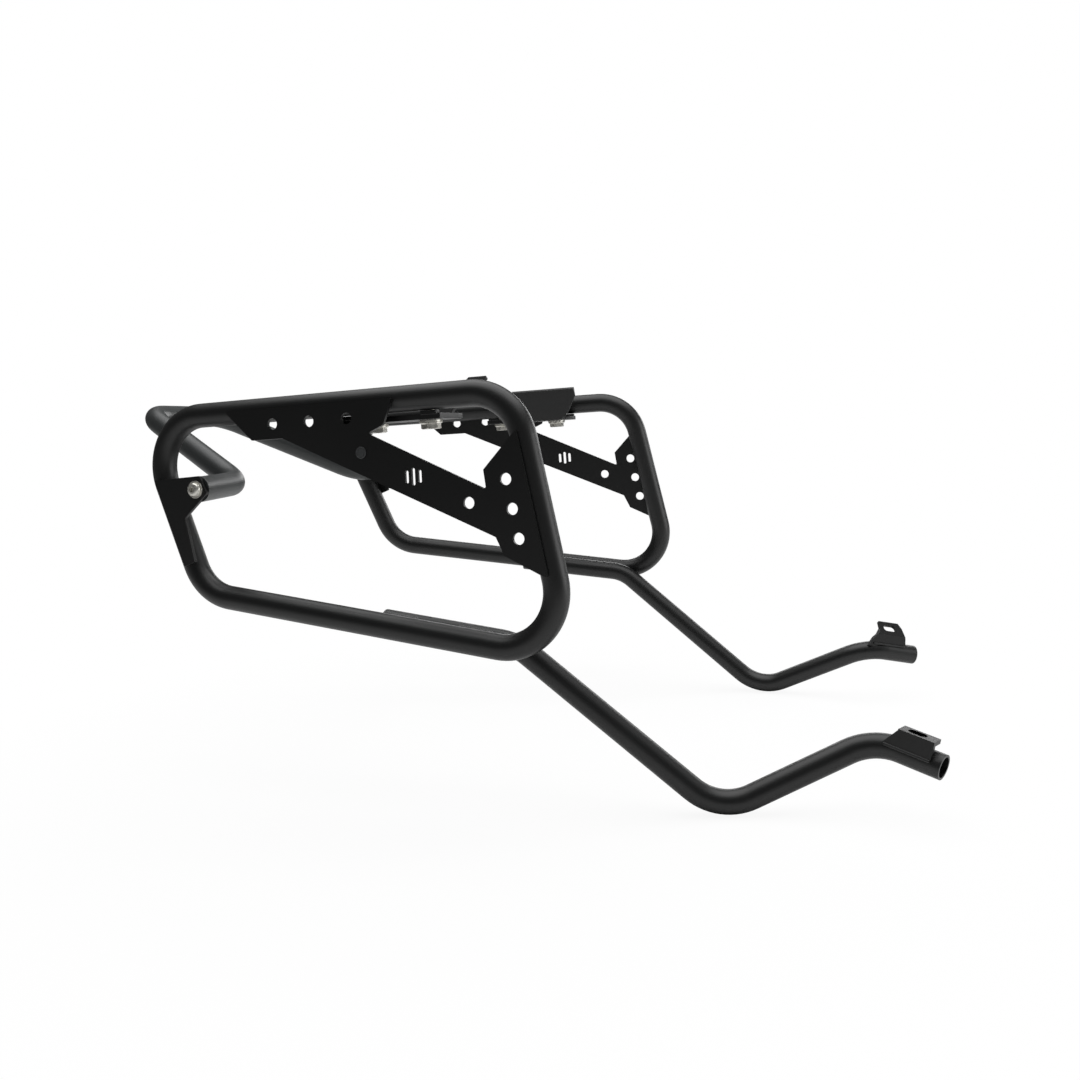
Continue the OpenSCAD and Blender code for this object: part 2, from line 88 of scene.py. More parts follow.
# Where the hoop's tubes cross the side frame's axes, and how they slant from there
FRONT_TUBE_X = 0.125
FRONT_TUBE_SLANT = 0.0445 / 0.233
REAR_TUBE_X = -0.2815
REAR_TUBE_SLANT = 0.0645 / 0.1755
BOTTOM_TUBE_Y = -0.2078
BOTTOM_TUBE_FALL = -0.1488

# The stay's last bend and the way that its end points
STAY_LAST_BEND = Vector((0.4045, -0.3122, -0.09795))
STAY_END_WAY = Vector((0.0555, -0.015, 0.021)).normalized()

# Places of the brace bolt and the blind plug in the side frame
BRACE_BOLT = (-0.20885, -0.0725)
PLATE_PLUG = (-0.0205, -0.0467)

# How many times the coat's colour each group of pieces shows, which paints light where it is over one and
# shade where it is under one, and how strongly it reflects
TUBE_COAT = {"lift": 1.0, "shine": 0.5}
# Painted light: the brace wears the same coat, drawn nine times as light for the light that grazes it
BRACE_COAT_PAINTED_LIGHT = {"lift": 9.0, "shine": 0.5}
# Painted shade: the sheet metal wears the same coat, drawn at half its colour as it turns away from the
# lamps
SHEET_COAT_PAINTED_SHADE = {"lift": 0.5, "shine": 0.4}
# Painted light: the welds wear the same coat, drawn half as light again where their ripples catch the light
WELD_COAT_PAINTED_LIGHT = {"lift": 1.5, "shine": 0.5}

# Faces that meet at less than this are shaded as one, and edges over it are rounded
SMOOTH_ANGLE = math.radians(32)

# Length of one ripple of a weld, and rounding of the washers' edges
WELD_RIPPLE = 0.0024
WASHER_ROUND = 0.0003


def linear(code):
    """An sRGB hex colour as linear red, green and blue."""
    parts = [int(code[i:i + 2], 16) / 255 for i in (1, 3, 5)]
    return tuple(c / 12.92 if c <= 0.04045 else ((c + 0.055) / 1.055) ** 2.4 for c in parts)


def side_matrix(side):
    """Carries a place of the side frame to the right or left of the rack."""
    right = (
        Matrix.Translation((-STATION_BACK, -HALF_WIDTH, TOP_TUBE_HEIGHT))
        @ Matrix.Rotation(-TOE_OUT, 4, "Z")
        @ Matrix.Rotation(math.radians(90) - LEAN_IN, 4, "X")
    )
    if side == "left":
        return Matrix.Diagonal((1, -1, 1, 1)) @ right
    return right


def axes_matrix(x, y, z, origin):
    """Carries the three axes to three directions, and the origin to a place."""
    return Matrix.Translation(origin) @ Matrix((x, y, z)).transposed().to_4x4()


def foot_place():
    """The foot bracket's own place in the side frame: X along the stay's end, Y inwards, Z up."""
    outwards = STAY_END_WAY.cross(Vector((0, 1, 0))).normalized()
    up = outwards.cross(STAY_END_WAY)
    return axes_matrix(STAY_END_WAY, -outwards, up, STAY_LAST_BEND)


def per_mm(grains):
    """The scale of a noise that has so many grains to a millimetre."""
    return grains * 1000


def hexagon_radius(across):
    """Radius round the corners of a hexagon that is so wide across its flats."""
    return across / 2 / math.cos(math.radians(30))


# Settings


class CoatSettings(bpy.types.PropertyGroup):
    """Black powder coat on the tubes and the sheet metal."""

    colour: bpy.props.FloatVectorProperty(
        name="Colour", description="Colour of the powder coat", subtype="COLOR", size=3,
        default=linear("#0a0b0b"), min=0, max=1,
    )
    roughness: bpy.props.FloatProperty(
        name="Roughness", description="Gloss of the coat, from mirror to chalk", subtype="FACTOR",
        default=0.42, min=0, max=1,
    )
    grain: bpy.props.FloatProperty(
        name="Grain", description="Size of the coat's fine orange peel", subtype="DISTANCE",
        default=0.0011, min=0.0003, max=0.004,
    )


class SheetSettings(bpy.types.PropertyGroup):
    """Edges of the laser-cut plates and brackets."""

    edge_round: bpy.props.FloatProperty(
        name="Edge rounding", description="Radius on the edges of the sheet metal", subtype="DISTANCE",
        default=0.0005, min=0.0001, max=0.001,
    )


class BoltSettings(bpy.types.PropertyGroup):
    """Frame bolts, brace bolts and their washers."""

    zinc: bpy.props.FloatVectorProperty(
        name="Zinc", description="Colour of the zinc plating", subtype="COLOR", size=3,
        default=linear("#dedcd4"), min=0, max=1,
    )
    thread_pitch: bpy.props.FloatProperty(
        name="Thread pitch", description="Pitch of the frame bolts' thread", subtype="DISTANCE",
        default=0.0015, min=0.001, max=0.002,
    )


class StageSettings(bpy.types.PropertyGroup):
    """Floor, lamps and camera."""

    lens: bpy.props.FloatProperty(
        name="Lens", description="Focal length of the camera in millimetres", unit="CAMERA",
        default=33.26, min=10, max=200,
    )
    lamp_power: bpy.props.FloatProperty(
        name="Lamp power", description="Power of the large lamp overhead", subtype="POWER",
        default=52, min=0, max=500,
    )


# Finishes


def add_node(tree, kind, links=None, **settings):
    """Adds a shader node. Settings name its properties or inputs, and links give inputs their sources."""
    node = tree.nodes.new(kind)
    sockets = {}
    for socket in node.inputs:
        if socket.enabled:
            sockets.setdefault(socket.name.lower().replace(" ", "_"), socket)
    for name, value in settings.items():
        if name in sockets:
            sockets[name].default_value = value
        else:
            setattr(node, name, value)
    for name, source in (links or {}).items():
        tree.links.new(source, node.inputs[name])
    return node


def new_material(name):
    """An empty node material, its tree and its output."""
    material = bpy.data.materials.new(name)
    material.use_nodes = True
    material.node_tree.nodes.clear()
    return material, material.node_tree, add_node(material.node_tree, "ShaderNodeOutputMaterial")


def powder_coat(name, settings, lift, shine):
    """Satin black polyester powder coat on steel: deep black, soft highlights and a fine orange peel.

    Its tone and gloss drift a little over patches of some 11 cm, as a sprayed coat's thickness does. A lift
    over one paints light into its colour, and a lift under one paints shade.
    """
    material, tree, output = new_material(name)
    place = add_node(tree, "ShaderNodeTexCoord").outputs["Object"]
    patches = add_node(tree, "ShaderNodeTexNoise", {"Vector": place}, scale=per_mm(0.009), detail=3.0)
    # The lift scales the colour: over one it is painted light, under one it is painted shade
    base = [c * lift for c in settings.colour]
    tone = add_node(tree, "ShaderNodeValToRGB", {"Fac": patches.outputs["Fac"]})
    tone.color_ramp.elements[0].position = 0.3
    tone.color_ramp.elements[0].color = (*[c * 0.88 for c in base], 1)
    tone.color_ramp.elements[1].position = 0.7
    tone.color_ramp.elements[1].color = (*[c * 1.12 for c in base], 1)
    gloss = add_node(
        tree, "ShaderNodeMapRange", {"Value": patches.outputs["Fac"]},
        to_min=settings.roughness - 0.03, to_max=settings.roughness + 0.03,
    )
    peel = add_node(tree, "ShaderNodeTexNoise", {"Vector": place}, scale=1 / settings.grain, detail=1.0)
    bump = add_node(tree, "ShaderNodeBump", {"Height": peel.outputs["Fac"]}, strength=0.12, distance=0.0001)
    shader = add_node(
        tree, "ShaderNodeBsdfPrincipled",
        {
            "Base Color": tone.outputs["Color"],
            "Roughness": gloss.outputs["Result"],
            "Normal": bump.outputs["Normal"],
        },
        ior=1.5, specular_ior_level=shine,
    )
    tree.links.new(shader.outputs["BSDF"], output.inputs["Surface"])
    return material


def zinc_plate(name, settings):
    """Bright zinc plate on steel: a clean grey metal with a faint cloudiness and fine turning marks.

    The marks of the lathe are too fine to show, so they are drawn about 0.7 mm apart.
    """
    material, tree, output = new_material(name)
    place = add_node(tree, "ShaderNodeTexCoord").outputs["Object"]
    cloud = add_node(tree, "ShaderNodeTexNoise", {"Vector": place}, scale=per_mm(0.26), detail=4.0)
    tone = add_node(tree, "ShaderNodeValToRGB", {"Fac": cloud.outputs["Fac"]})
    tone.color_ramp.elements[0].position = 0.25
    tone.color_ramp.elements[0].color = (*[c * 0.7 for c in settings.zinc], 1)
    tone.color_ramp.elements[1].position = 0.75
    tone.color_ramp.elements[1].color = (*settings.zinc, 1)
    gloss = add_node(tree, "ShaderNodeMapRange", {"Value": cloud.outputs["Fac"]}, to_min=0.2, to_max=0.38)
    marks = add_node(tree, "ShaderNodeTexNoise", {"Vector": place}, scale=per_mm(1.4), detail=2.0)
    bump = add_node(
        tree, "ShaderNodeBump", {"Height": marks.outputs["Fac"]}, strength=0.15, distance=0.00005,
    )
    shader = add_node(
        tree, "ShaderNodeBsdfPrincipled",
        {
            "Base Color": tone.outputs["Color"],
            "Roughness": gloss.outputs["Result"],
            "Normal": bump.outputs["Normal"],
        },
        metallic=0.75,
    )
    tree.links.new(shader.outputs["BSDF"], output.inputs["Surface"])
    return material


def moulded_plastic(name):
    """Black moulded polyamide of the blind plugs: a soft sheen over a mould grain of half a millimetre."""
    material, tree, output = new_material(name)
    place = add_node(tree, "ShaderNodeTexCoord").outputs["Object"]
    grain = add_node(tree, "ShaderNodeTexNoise", {"Vector": place}, scale=per_mm(1.8), detail=2.0)
    tone = add_node(tree, "ShaderNodeValToRGB", {"Fac": grain.outputs["Fac"]})
    tone.color_ramp.elements[0].color = (*linear("#2c2e2f"), 1)
    tone.color_ramp.elements[1].color = (*linear("#3a3c3d"), 1)
    bump = add_node(tree, "ShaderNodeBump", {"Height": grain.outputs["Fac"]}, strength=0.3, distance=0.0001)
    shader = add_node(
        tree, "ShaderNodeBsdfPrincipled",
        {"Base Color": tone.outputs["Color"], "Normal": bump.outputs["Normal"]},
        roughness=0.5, ior=1.53,
    )
    tree.links.new(shader.outputs["BSDF"], output.inputs["Surface"])
    return material


def finish(piece, material):
    """Gives a piece one finish all over."""
    piece.data.materials.clear()
    piece.data.materials.append(material)


# Modelling


def select_only(piece):
    """Leaves one object selected and active."""
    bpy.ops.object.select_all(action="DESELECT")
    piece.select_set(True)
    bpy.context.view_layer.objects.active = piece


def apply_modifier(piece, kind, **settings):
    """Adds a modifier, sets it and applies it."""
    select_only(piece)
    modifier = piece.modifiers.new(kind.title(), kind)
    for name, value in settings.items():
        setattr(modifier, name, value)
    bpy.ops.object.modifier_apply(modifier=modifier.name)


def settle(piece, matrix):
    """Puts a finished piece at its place, with the place kept in its mesh."""
    piece.data.transform(matrix @ piece.matrix_world)
    piece.matrix_world = Matrix.Identity(4)
    if matrix.determinant() < 0:
        piece.data.flip_normals()
    select_only(piece)
    bpy.ops.object.shade_smooth_by_angle(angle=SMOOTH_ANGLE)


def copy_of(piece, name):
    """A second piece with a mesh of its own."""
    twin = piece.copy()
    twin.data = piece.data.copy()
    twin.name = twin.data.name = name
    bpy.context.scene.collection.objects.link(twin)
    return twin


def turned(name, profile, sides):
    """A turned solid along Z: a disc of the first radius, drawn out through steps of radius and height."""
    radius, height = profile[0]
    bpy.ops.object.select_all(action="DESELECT")
    bpy.ops.mesh.primitive_circle_add(
        vertices=sides, radius=radius, fill_type="NGON", location=(0, 0, height),
    )
    piece = bpy.context.object
    piece.name = piece.data.name = name
    bpy.ops.object.mode_set(mode="EDIT")
    bpy.ops.mesh.select_all(action="SELECT")
    for next_radius, next_height in profile[1:]:
        bpy.ops.mesh.extrude_region_move(TRANSFORM_OT_translate={"value": (0, 0, next_height - height)})
        bpy.ops.transform.resize(
            value=(next_radius / radius, next_radius / radius, 1), center_override=(0, 0, next_height),
        )
        radius, height = next_radius, next_height
    bpy.ops.mesh.select_all(action="SELECT")
    bpy.ops.mesh.normals_make_consistent(inside=False)
    bpy.ops.object.mode_set(mode="OBJECT")
    bpy.ops.object.transform_apply(location=True, rotation=True, scale=True)
    return piece


def cut_hexagon(piece, across, low, high):
    """Cuts a hexagonal socket, so wide across its flats, between two heights."""
    bpy.ops.object.select_all(action="DESELECT")
    bpy.ops.mesh.primitive_cylinder_add(
        vertices=6, radius=hexagon_radius(across), depth=high - low, location=(0, 0, (low + high) / 2),
    )
    cutter = bpy.context.object
    apply_modifier(piece, "BOOLEAN", operation="DIFFERENCE", object=cutter, solver="EXACT")
    bpy.data.objects.remove(cutter)


def cut_box(piece, place, size):
    """Cuts a box with its lowest corner at a place."""
    bpy.ops.object.select_all(action="DESELECT")
    bpy.ops.mesh.primitive_cube_add(size=1, location=(0.5, 0.5, 0.5))
    cutter = bpy.context.object
    bpy.ops.object.transform_apply(location=True)
    cutter.data.transform(place @ Matrix.Diagonal((*size, 1)))
    if place.determinant() < 0:
        cutter.data.flip_normals()
    apply_modifier(piece, "BOOLEAN", operation="DIFFERENCE", object=cutter, solver="EXACT")
    bpy.data.objects.remove(cutter)


def move_corner(piece, matrix, corner, reach, offset):
    """Moves the points within reach of one corner of a plate's outline, all given in the side frame."""
    back = matrix.inverted()
    for vertex in piece.data.vertices:
        place = back @ vertex.co
        if (place.xy - Vector(corner)).length < reach:
            vertex.co = matrix @ (place + Vector((*offset, 0)))


def rounded_copy(node, name, width, finish_material, cut=None, moves=()):
    """A CAD node's sheet metal with its edges rounded, in the node's place.

    The cut is a box's place and size, and each move a corner of the outline with its reach and offset.
    """
    piece = copy_of(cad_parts[node], name)
    piece.parent = None
    # A plain copy would still carry the frame's own tags
    for key in list(piece.keys()):
        del piece[key]
    select_only(piece)
    bpy.ops.mesh.customdata_custom_splitnormals_clear()
    bpy.ops.object.mode_set(mode="EDIT")
    bpy.ops.mesh.select_all(action="SELECT")
    bpy.ops.mesh.remove_doubles(threshold=0.000002)
    bpy.ops.mesh.dissolve_limited(angle_limit=math.radians(0.6))
    bpy.ops.object.mode_set(mode="OBJECT")
    if cut:
        cut_box(piece, *cut)
    for move in moves:
        move_corner(piece, *move)
    # The clips have edges so short that clamping would round nothing on them
    apply_modifier(
        piece, "BEVEL", width=width, segments=2, limit_method="ANGLE", angle_limit=SMOOTH_ANGLE,
        use_clamp_overlap="clip" not in node,
    )
    settle(piece, Matrix.Identity(4))
    apply_modifier(piece, "WEIGHTED_NORMAL", weight=100, keep_sharp=True)
    finish(piece, finish_material)
    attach(piece, BODY)
    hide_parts(node)


def standing_copy(model, node, name, matrix, material):
    """A copy of a finished model, set at its place, that stands for a CAD node."""
    piece = copy_of(model, name)
    settle(piece, matrix)
    finish(piece, material)
    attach(piece, BODY)
    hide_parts(node)


def weld_bead(name, start, end, radius, outward):
    """A rippled weld bead between two places. One of its twelve ridges faces outward."""
    length = (end - start).length
    tip = radius * 0.25
    shoulder = radius * 0.75
    lead = radius * 0.4
    ripples = max(3, round(length / WELD_RIPPLE))
    profile = [(tip, 0), (shoulder, tip)]
    for i in range(ripples):
        low = lead + (length - 2 * lead) * i / ripples
        high = lead + (length - 2 * lead) * (i + 0.55) / ripples
        profile += [(radius * 0.9, low), (radius, high)]
    profile += [(shoulder, length - tip), (tip, length)]
    bead = turned(name, profile, sides=12)
    way = (end - start).normalized()
    across = outward.cross(way).normalized()
    bead.data.transform(axes_matrix(across, way.cross(across), way, start))
    return bead


def weld_group(name, side, runs, material):
    """Joins the beads of one joint into one piece.

    Each run is a bead's start, end and outward direction in the side frame, and its radius.
    """
    beads = []
    for start, end, outward, radius in runs:
        beads.append(weld_bead(name, Vector(start), Vector(end), radius, Vector(outward)))
    bpy.ops.object.select_all(action="DESELECT")
    for bead in beads:
        bead.select_set(True)
    bpy.context.view_layer.objects.active = beads[0]
    if len(beads) > 1:
        bpy.ops.object.join()
    piece = beads[0]
    piece.name = piece.data.name = name
    settle(piece, side_matrix(side))
    finish(piece, material)
    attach(piece, BODY)


# Operators


class PANNIER_OT_coat_tubes(bpy.types.Operator):
    """Coats the hoops, the stays and the rear brace"""

    bl_idname = "pannier.coat_tubes"
    bl_label = "Coat the tubes"

    def execute(self, context):
        for nodes, name, coat in (
            (FRAME_TUBES, "powder_coat_tube", TUBE_COAT),
            # The brace gets a lightened copy of the coat, as painted light
            (BRACE_PARTS, "powder_coat_brace", BRACE_COAT_PAINTED_LIGHT),
        ):
            material = powder_coat(name, context.scene.pannier_coat, **coat)
            for node in nodes:
                finish(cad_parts[node], material)
        return {"FINISHED"}


class PANNIER_OT_round_sheet_metal(bpy.types.Operator):
    """Rounds the edges of the side plates, clips, top brackets and foot brackets"""

    bl_idname = "pannier.round_sheet_metal"
    bl_label = "Round the sheet metal"

    def execute(self, context):
        # The sheet metal gets a darkened copy of the coat, as painted shade
        material = powder_coat("powder_coat_sheet", context.scene.pannier_coat, **SHEET_COAT_PAINTED_SHADE)
        width = context.scene.pannier_sheet.edge_round
        cuts = {"left_rear_clip": self.clip_cut(), "right_foot_bracket": self.foot_cut()}
        # How many times the edge rounding each part has
        softness = {"side_plate": 1, "rear_clip": 1, "top_bracket": 1, "foot_bracket": 1.8}
        for side in SIDES:
            for part, soft in softness.items():
                node = f"{side}_{part}"
                moves = self.band_moves(side) if part == "side_plate" else ()
                rounded_copy(
                    node, f"{node}_sheet", width * soft, material, cuts.get(node), moves,
                )
        return {"FINISHED"}

    def clip_cut(self):
        """Narrows the left clip's strip below its ear, along the rear tube."""
        strip_front = Matrix.Translation((-0.2355, -0.106, HOOP_RADIUS - 0.001))
        tilt = Matrix.Rotation(math.atan(REAR_TUBE_SLANT), 4, "Z")
        width, height, depth = (0.02, 0.06, 0.01)
        place = side_matrix("left") @ strip_front @ tilt @ Matrix.Translation((0, -height, 0))
        return place, (width, height, depth)

    def foot_cut(self):
        """Shortens the right foot bracket beyond the end of its weld."""
        length = 0.053
        size = (0.02, 0.04, 0.04)
        place = side_matrix("right") @ foot_place() @ Matrix.Translation((length, -size[1] / 2, 0))
        return place, size

    def band_moves(self, side):
        """Lowers the two ends of the band's upper edge, each given as a corner, its reach and an offset."""
        matrix = side_matrix(side)
        return (
            (matrix, (-0.0085, -0.028), 0.0042, (-0.0048, -0.002)),
            (matrix, (0.10148, -0.08014), 0.0036, (0.0005, -0.0043)),
        )


class PANNIER_OT_add_welds(bpy.types.Operator):
    """Adds the weld beads of the plates, the clips, the stays and the foot brackets"""

    bl_idname = "pannier.add_welds"
    bl_label = "Add the welds"

    def execute(self, context):
        # The welds get a lightened copy of the coat, as painted light
        material = powder_coat("powder_coat_weld", context.scene.pannier_coat, **WELD_COAT_PAINTED_LIGHT)
        for side in SIDES:
            weld_group(f"{side}_plate_welds", side, self.plate_runs(), material)
            weld_group(f"{side}_stay_welds", side, self.stay_runs(), material)
            weld_group(f"{side}_clip_welds", side, self.clip_runs(), material)
            weld_group(f"{side}_foot_welds", side, self.foot_runs(side), material)
        return {"FINISHED"}

    def plate_runs(self):
        """Beads behind the side plate, in the grooves that it makes with the top and the front tube."""
        groove = 0.0088
        top_groove = groove + 0.0004
        length = 0.03
        radius = 0.0022
        runs = []
        for rear in (-0.15, -0.09, -0.03):
            ends = [(x, -groove, top_groove) for x in (rear, rear + length)]
            runs.append([*ends, (0, -0.7, -0.7), radius])
        for depths in ((0.05, 0.08), (0.115, 0.15)):
            ends = [(FRONT_TUBE_X + FRONT_TUBE_SLANT * depth - groove, -depth, groove) for depth in depths]
            runs.append([*ends, (-0.7, -0.1, -0.7), radius])
        return runs

    def stay_runs(self):
        """Beads above and below the stay, where it lies along the inside of the bottom tube."""
        inside = -HOOP_RADIUS - 0.0001
        rise = 0.0078
        length = 0.035
        radius = 0.003
        runs = []
        for rear in (-0.02, 0.055):
            for lift in (rise, -rise):
                ends = [
                    (x, BOTTOM_TUBE_Y + BOTTOM_TUBE_FALL * x + lift, inside) for x in (rear, rear + length)
                ]
                runs.append([*ends, (0, math.copysign(1, lift), 0), radius])
        return runs

    def clip_runs(self):
        """Beads along the rear edge of the clip's strip, on the outside of the rear tube."""
        behind = 0.002
        radius = 0.0015
        runs = []
        for depths in ((0.066, 0.09), (0.12, 0.144)):
            ends = [
                (REAR_TUBE_X + REAR_TUBE_SLANT * depth - behind, -depth, HOOP_RADIUS) for depth in depths
            ]
            runs.append([*ends, (-0.5, 0, 1), radius])
        return runs

    def foot_runs(self, side):
        """The bead along the stay's end: on its outer side on the right, on its inner side on the left."""
        start, outward = {
            "right": (Vector((0.012, -0.0108, 0.0042)), (0, 0.2, 1)),
            "left": (Vector((0.004, 0.0072, 0.0088)), (0, 0.4, -1)),
        }[side]
        length = 0.041
        radius = 0.0016
        place = foot_place()
        return [[place @ start, place @ (start + Vector((length, 0, 0))), outward, radius]]


class PANNIER_OT_add_frame_bolts(bpy.types.Operator):
    """Adds the four flanged hexagon bolts and their washers under the top brackets"""

    bl_idname = "pannier.add_frame_bolts"
    bl_label = "Add the frame bolts"

    flange_height = 0.0015
    head_height = 0.0065
    head_width = 0.016
    length = 0.028

    def execute(self, context):
        settings = context.scene.pannier_bolts
        material = zinc_plate("zinc_plated_steel", settings)
        bolt = self.make_flange()
        parts = (bolt, self.make_head(), self.make_shank(settings.thread_pitch))
        bpy.ops.object.select_all(action="DESELECT")
        for part in parts:
            part.select_set(True)
        context.view_layer.objects.active = bolt
        bpy.ops.object.join()
        for side in SIDES:
            for end in ("front", "rear"):
                node = f"{side}_{end}_bolt"
                washer = f"{side}_{end}_washer"
                low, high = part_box(washer)
                place = Matrix.Translation(((low.x + high.x) / 2, (low.y + high.y) / 2, low.z))
                standing_copy(bolt, node, f"{node}_turned", place, material)
                rounded_copy(washer, f"{washer}_turned", WASHER_ROUND, material)
        bpy.data.objects.remove(bolt)
        return {"FINISHED"}

    def make_flange(self):
        """The round flange, which presses on the washer above it."""
        return turned("frame_bolt", [
            (0.0103, 0), (0.01075, -0.0004), (0.01075, -0.001),
            (0.0088, -self.flange_height - 0.0006), (0.0087, -self.flange_height - 0.0007),
        ], sides=48)

    def make_head(self):
        """The hexagon under the flange, with its corners chamfered at the end."""
        bpy.ops.object.select_all(action="DESELECT")
        bpy.ops.mesh.primitive_cylinder_add(
            vertices=6, radius=hexagon_radius(self.head_width), depth=self.head_height - self.flange_height,
            location=(0, 0, -(self.flange_height + self.head_height) / 2),
        )
        hexagon = bpy.context.object
        chamfer = turned("chamfer", [
            (0.014, -self.flange_height + 0.001), (0.014, -self.head_height + 0.0028),
            (0.0076, -self.head_height - 0.0001),
        ], sides=48)
        apply_modifier(hexagon, "BOOLEAN", operation="INTERSECT", object=chamfer, solver="EXACT")
        bpy.data.objects.remove(chamfer)
        return hexagon

    def make_shank(self, pitch):
        """The plain length and the thread above it, which is drawn as rings."""
        plain = 0.0075
        plain_radius = 0.0045
        core = 0.0043
        crest = 0.00495
        profile = [(plain_radius, 0.0), (plain_radius, plain), (core, plain + 0.0002)]
        for i in range(int((self.length - plain - 0.0012) / pitch)):
            foot = plain + 0.0004 + i * pitch
            profile += [(core, foot), (crest, foot + pitch * 0.4), (crest, foot + pitch * 0.55)]
        profile += [(core, self.length - 0.0008), (core - 0.0006, self.length)]
        return turned("shank", profile, sides=32)


class PANNIER_OT_add_brace_bolts(bpy.types.Operator):
    """Adds the two round-head socket bolts that hold the rear brace, with their washers"""

    bl_idname = "pannier.add_brace_bolts"
    bl_label = "Add the brace bolts"

    def execute(self, context):
        material = zinc_plate("zinc_plated_steel_brace", context.scene.pannier_bolts)
        face = HOOP_RADIUS + CLIP_THICKNESS + BRACE_WASHER_THICKNESS
        place = Matrix.Translation((*BRACE_BOLT, face))
        # The shank in its plug, then the low dome of the head
        bolt = turned("brace_bolt", [
            (0.0032, -0.0196), (0.0039, -0.019), (0.0039, -0.0002),
            (0.0069, 0.0), (0.0071, 0.0003), (0.007, 0.0014), (0.0066, 0.0025),
            (0.0058, 0.0035), (0.0048, 0.0041), (0.0039, 0.0043),
        ], sides=64)
        cut_hexagon(bolt, across=0.005, low=0.0016, high=0.006)
        for side in SIDES:
            node = f"{side}_brace_bolt"
            washer = f"{side}_brace_washer"
            standing_copy(bolt, node, f"{node}_turned", side_matrix(side) @ place, material)
            rounded_copy(washer, f"{washer}_turned", WASHER_ROUND, material)
        bpy.data.objects.remove(bolt)
        return {"FINISHED"}


class PANNIER_OT_add_plate_plugs(bpy.types.Operator):
    """Adds the domed blind plugs in the side plates"""

    bl_idname = "pannier.add_plate_plugs"
    bl_label = "Add the plate plugs"

    def execute(self, context):
        material = moulded_plastic("moulded_polyamide")
        place = Matrix.Translation((*PLATE_PLUG, HOOP_RADIUS + PLATE_THICKNESS))
        # The pin in its hole, the rim, the groove in the rim, and the flat dome
        plug = turned("plate_plug", [
            (0.0026, -0.0068), (0.0033, -0.006), (0.0033, 0.0),
            (0.0053, 0.0), (0.0055, 0.0002), (0.0054, 0.0006), (0.0046, 0.0009),
            (0.0044, 0.0006), (0.0038, 0.0006), (0.0036, 0.0009), (0.002, 0.001),
        ], sides=48)
        for side in SIDES:
            node = f"{side}_plate_plug"
            standing_copy(plug, node, f"{node}_domed", side_matrix(side) @ place, material)
        bpy.data.objects.remove(plug)
        return {"FINISHED"}


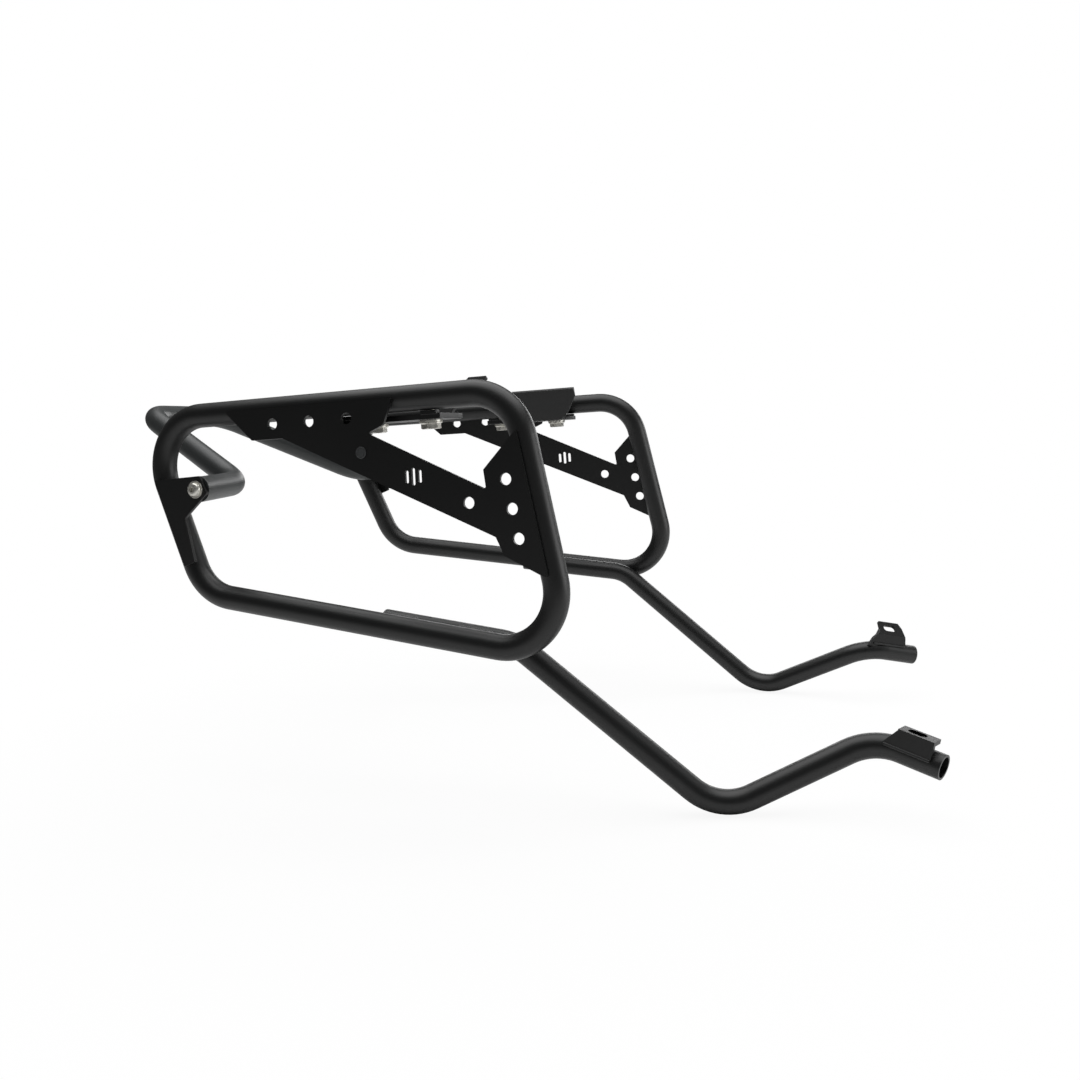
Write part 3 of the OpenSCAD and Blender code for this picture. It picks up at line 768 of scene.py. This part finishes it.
class PANNIER_OT_set_stage(bpy.types.Operator):
    """Sets the pale floor, the soft lamps and the camera"""

    bl_idname = "pannier.set_stage"
    bl_label = "Set the stage"

    def execute(self, context):
        scene = context.scene
        settings = scene.pannier_stage
        power = settings.lamp_power
        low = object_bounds()[0]
        self.add_floor(low.z)
        self.add_world(scene)
        self.add_lamp("overhead", place=(0.1, 0.1, 1.7), target=(0.1, 0, -0.1), size=(2.8, 2.4), power=power)
        self.add_lamp(
            "ahead", place=(2.4, 0.3, 0.3), target=(0, 0, -0.1), size=(1.4, 1.2), power=power * 0.35,
        )
        self.add_lamp(
            "behind", place=(0.3, 2.6, 0.55), target=(0, 0, -0.1), size=(3.6, 0.6), power=power * 0.5,
        )
        camera = bpy.data.objects.new("camera", bpy.data.cameras.new("camera"))
        scene.collection.objects.link(camera)
        camera.data.lens = settings.lens
        camera.data.sensor_width = 36
        camera.data.clip_start = 0.05
        camera.data.clip_end = 60
        # The place and the axes of the camera, solved from the holes and bolts of both sides
        place = (0.3635, -1.0580, -0.0308)
        right = Vector((0.95429, 0.29239, -0.06189))
        up = Vector((0.03003, 0.11224, 0.99323))
        back = Vector((0.29736, -0.94969, 0.09833))
        camera.matrix_world = axes_matrix(right, up, back, place)
        scene.camera = camera
        scene.view_settings.view_transform = "Standard"
        return {"FINISHED"}

    def add_floor(self, height):
        """A white floor that keeps the object's shadow and turns plain white to the camera farther out."""
        gap = 0.0005
        bpy.ops.object.select_all(action="DESELECT")
        bpy.ops.mesh.primitive_plane_add(size=30, location=(0, 8, height - gap))
        floor = bpy.context.object
        floor.name = "floor"
        material, tree, output = new_material("white_floor")
        lit = add_node(tree, "ShaderNodeBsdfDiffuse", color=(0.92, 0.92, 0.92, 1))
        shown = add_node(tree, "ShaderNodeEmission", color=(1, 1, 1, 1), strength=1.0)
        path = add_node(tree, "ShaderNodeLightPath")
        place = add_node(tree, "ShaderNodeNewGeometry").outputs["Position"]
        away = add_node(tree, "ShaderNodeVectorMath", {"Vector": place}, operation="LENGTH")
        # Near the object a tenth of what the camera sees is the lit floor, and beyond 0.8 m nothing is
        plain = add_node(
            tree, "ShaderNodeMapRange", {"Value": away.outputs["Value"]},
            from_min=0.45, from_max=0.8, to_min=0.9, to_max=1.0,
        )
        share = add_node(tree, "ShaderNodeMath", operation="MULTIPLY")
        tree.links.new(path.outputs["Is Camera Ray"], share.inputs[0])
        tree.links.new(plain.outputs["Result"], share.inputs[1])
        blend = add_node(tree, "ShaderNodeMixShader", {"Fac": share.outputs["Value"]})
        tree.links.new(lit.outputs["BSDF"], blend.inputs[1])
        tree.links.new(shown.outputs["Emission"], blend.inputs[2])
        tree.links.new(blend.outputs["Shader"], output.inputs["Surface"])
        finish(floor, material)
        floor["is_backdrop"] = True

    def add_world(self, scene):
        """A dim grey room that shows white to the camera."""
        world = bpy.data.worlds.new("studio")
        world.use_nodes = True
        scene.world = world
        tree = world.node_tree
        tree.nodes.clear()
        room = add_node(tree, "ShaderNodeBackground", color=(1, 1, 1, 1), strength=0.11)
        shown = add_node(tree, "ShaderNodeBackground", color=(1, 1, 1, 1), strength=1.0)
        path = add_node(tree, "ShaderNodeLightPath")
        blend = add_node(tree, "ShaderNodeMixShader", {"Fac": path.outputs["Is Camera Ray"]})
        tree.links.new(room.outputs["Background"], blend.inputs[1])
        tree.links.new(shown.outputs["Background"], blend.inputs[2])
        output = add_node(tree, "ShaderNodeOutputWorld")
        tree.links.new(blend.outputs["Shader"], output.inputs["Surface"])

    def add_lamp(self, name, place, target, size, power):
        """A large soft rectangular lamp aimed at a point."""
        lamp = bpy.data.objects.new(name, bpy.data.lights.new(name, "AREA"))
        bpy.context.scene.collection.objects.link(lamp)
        lamp.data.shape = "RECTANGLE"
        lamp.data.size, lamp.data.size_y = size
        lamp.data.energy = power
        lamp.location = place
        lamp.rotation_euler = (Vector(target) - Vector(place)).to_track_quat("-Z", "Y").to_euler()


class PANNIER_PT_panel(bpy.types.Panel):
    """Settings and steps of the pannier frame"""

    bl_idname = "PANNIER_PT_panel"
    bl_label = "Pannier frame"
    bl_space_type = "VIEW_3D"
    bl_region_type = "UI"
    bl_category = "Pannier frame"

    def draw(self, context):
        for owner in SETTINGS:
            group = getattr(context.scene, owner)
            box = self.layout.box()
            for name in group.bl_rna.properties.keys():
                if name not in ("rna_type", "name"):
                    box.prop(group, name)
        for step in STEPS:
            self.layout.operator(step.bl_idname)


SETTINGS = {
    "pannier_coat": CoatSettings,
    "pannier_sheet": SheetSettings,
    "pannier_bolts": BoltSettings,
    "pannier_stage": StageSettings,
}
STEPS = (
    PANNIER_OT_coat_tubes,
    PANNIER_OT_round_sheet_metal,
    PANNIER_OT_add_welds,
    PANNIER_OT_add_frame_bolts,
    PANNIER_OT_add_brace_bolts,
    PANNIER_OT_add_plate_plugs,
    PANNIER_OT_set_stage,
)


def register():
    for settings in SETTINGS.values():
        bpy.utils.register_class(settings)
    for owner, settings in SETTINGS.items():
        setattr(bpy.types.Scene, owner, bpy.props.PointerProperty(type=settings))
    for step in STEPS:
        bpy.utils.register_class(step)
    bpy.utils.register_class(PANNIER_PT_panel)


def unregister():
    bpy.utils.unregister_class(PANNIER_PT_panel)
    for step in reversed(STEPS):
        bpy.utils.unregister_class(step)
    for owner in SETTINGS:
        delattr(bpy.types.Scene, owner)
    for settings in reversed(list(SETTINGS.values())):
        bpy.utils.unregister_class(settings)


def main():
    """Runs every step in order."""
    register()
    bpy.ops.pannier.coat_tubes()
    bpy.ops.pannier.round_sheet_metal()
    bpy.ops.pannier.add_welds()
    bpy.ops.pannier.add_frame_bolts()
    bpy.ops.pannier.add_brace_bolts()
    bpy.ops.pannier.add_plate_plugs()
    bpy.ops.pannier.set_stage()


if __name__ == "__main__":
    main()
